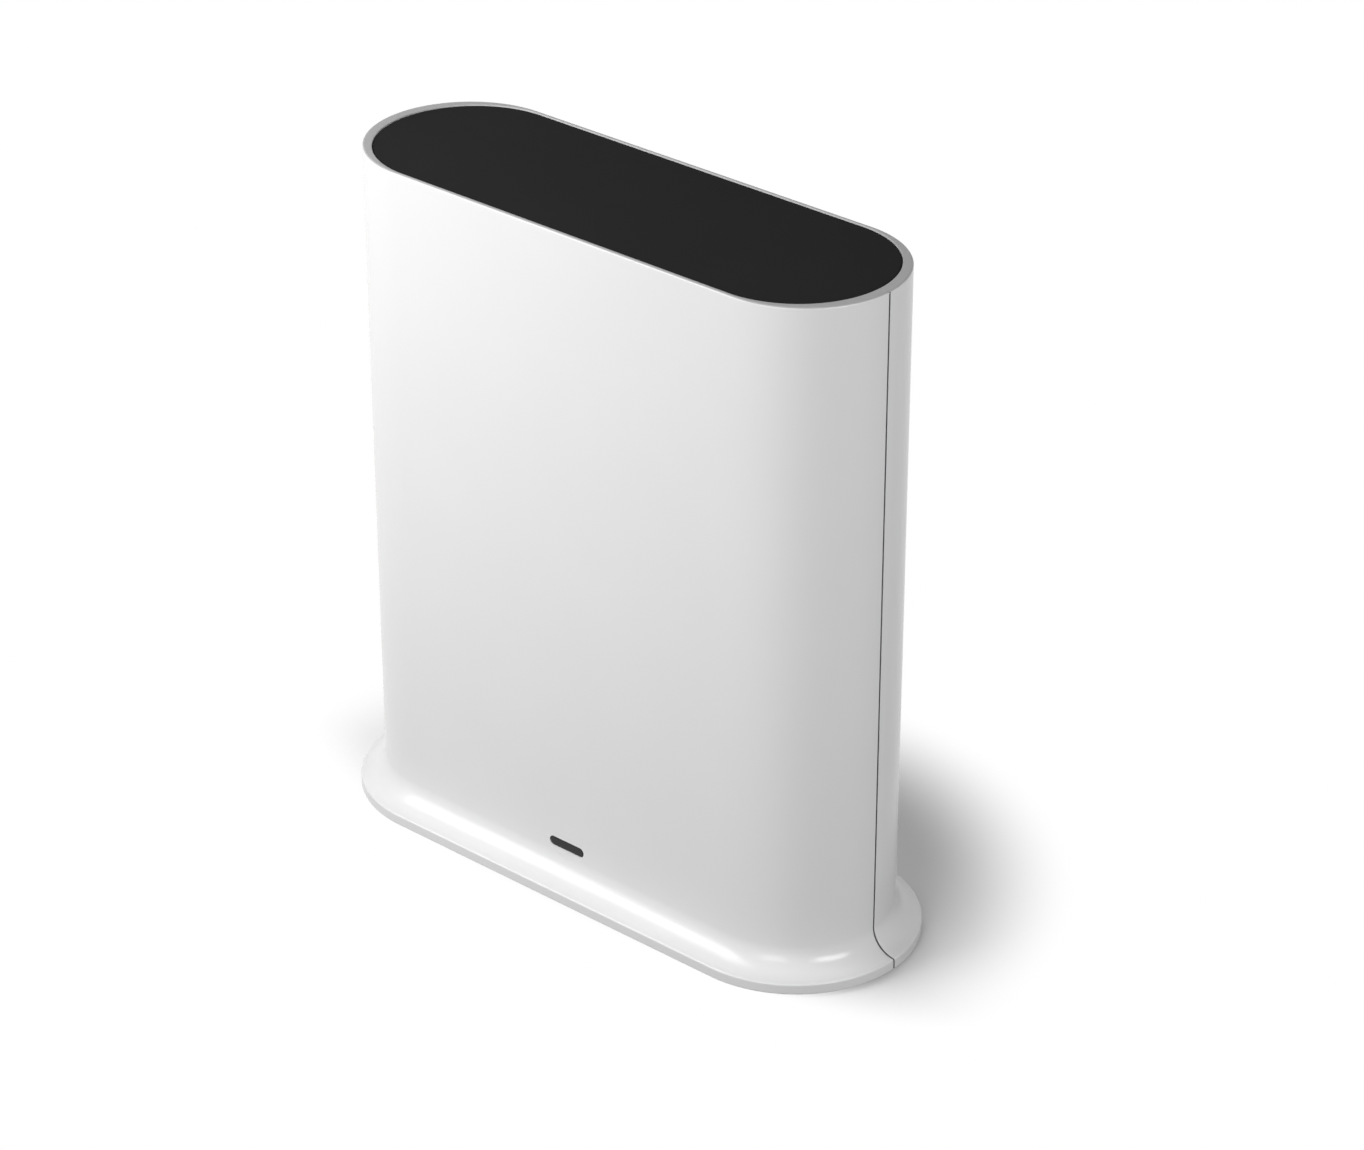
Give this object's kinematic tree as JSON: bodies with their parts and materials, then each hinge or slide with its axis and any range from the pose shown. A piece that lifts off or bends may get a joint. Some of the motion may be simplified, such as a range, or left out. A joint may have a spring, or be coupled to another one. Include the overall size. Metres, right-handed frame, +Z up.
{
  "type": "security camera base station",
  "caption": "Upright camera hub with a racetrack plan, flared foot and dark top plate; sockets, a sync button and a reset pinhole at the back, a status window in front.",
  "frame": {"origin": "middle of the underside, on the surface that the object stands on", "axes": "+Z up; the front with the status window faces -Y; X runs along the front"},
  "size_m": [0.141, 0.053, 0.1505],
  "materials": {
    "white_plastic": "satin white moulding",
    "black_plate": "fine matt, near black",
    "smoked_window": "smoked, smooth",
    "clear_plastic": "clear acrylic",
    "led_body": "pale resin",
    "pad_rubber": "soft matt",
    "screw_steel": "zinc plated",
    "board_laminate": "green solder mask",
    "socket_steel": "tinned sheet",
    "socket_plastic": "black moulding",
    "tongue_plastic": "black moulding",
    "contact_metal": "gold flashed",
    "button_plastic": "satin white moulding",
    "stem_plastic": "natural nylon",
    "chip_resin": "black moulding compound",
    "thermal_silicone": "soft pad",
    "sink_aluminium": "extruded",
    "ferrite": "pressed powder",
    "can_aluminium": "bare can",
    "antenna_film": "copper on film",
    "feed_metal": "tinned",
    "cable_jacket": "thin black jacket"
  },
  "bodies": {
    "hub": {"front_shell": "white_plastic", "rear_shell": "white_plastic", "base_plate": "white_plastic", "top_plate": "black_plate", "status_window": "smoked_window", "light_pipe": "clear_plastic", "status_led": "led_body", "foot_pads": "pad_rubber", "base_screws": "screw_steel", "board_screws": "screw_steel", "main_board": "board_laminate", "ethernet_shield": "socket_steel", "usb_shell": "socket_steel", "radio_shields": "socket_steel", "power_jack_pin": "socket_steel", "crystal": "socket_steel", "ethernet_insert": "socket_plastic", "power_jack_body": "socket_plastic", "sync_switch_body": "socket_plastic", "reset_switch_body": "socket_plastic", "usb_tongue": "tongue_plastic", "ethernet_contacts": "contact_metal", "usb_contacts": "contact_metal", "power_jack_contact": "contact_metal", "antenna_plugs": "contact_metal", "heat_sink_pins": "stem_plastic", "processor": "chip_resin", "memory_chips": "chip_resin", "flash_chip": "chip_resin", "radio_chips": "chip_resin", "ethernet_transformer": "chip_resin", "thermal_pad": "thermal_silicone", "heat_sink": "sink_aluminium", "power_inductors": "ferrite", "capacitors": "can_aluminium", "front_antennas": "antenna_film", "rear_antennas": "antenna_film", "antenna_feeds": "feed_metal", "antenna_sockets": "feed_metal", "antenna_cables": "cable_jacket"},
    "sync_button": {"sync_button": "button_plastic", "sync_switch_stem": "stem_plastic"},
    "reset_stem": {"reset_switch_stem": "stem_plastic"}
  },
  "joints": [
    {"name": "sync_press", "type": "slide", "parent": "hub", "child": "sync_button", "axis": [0, -1, 0], "range_m": [0, 0.0005], "stiffness_N_per_m": 3000},
    {"name": "reset_press", "type": "slide", "parent": "hub", "child": "reset_stem", "axis": [0, -1, 0], "range_m": [0, 0.0003], "stiffness_N_per_m": 4000}
  ]
}
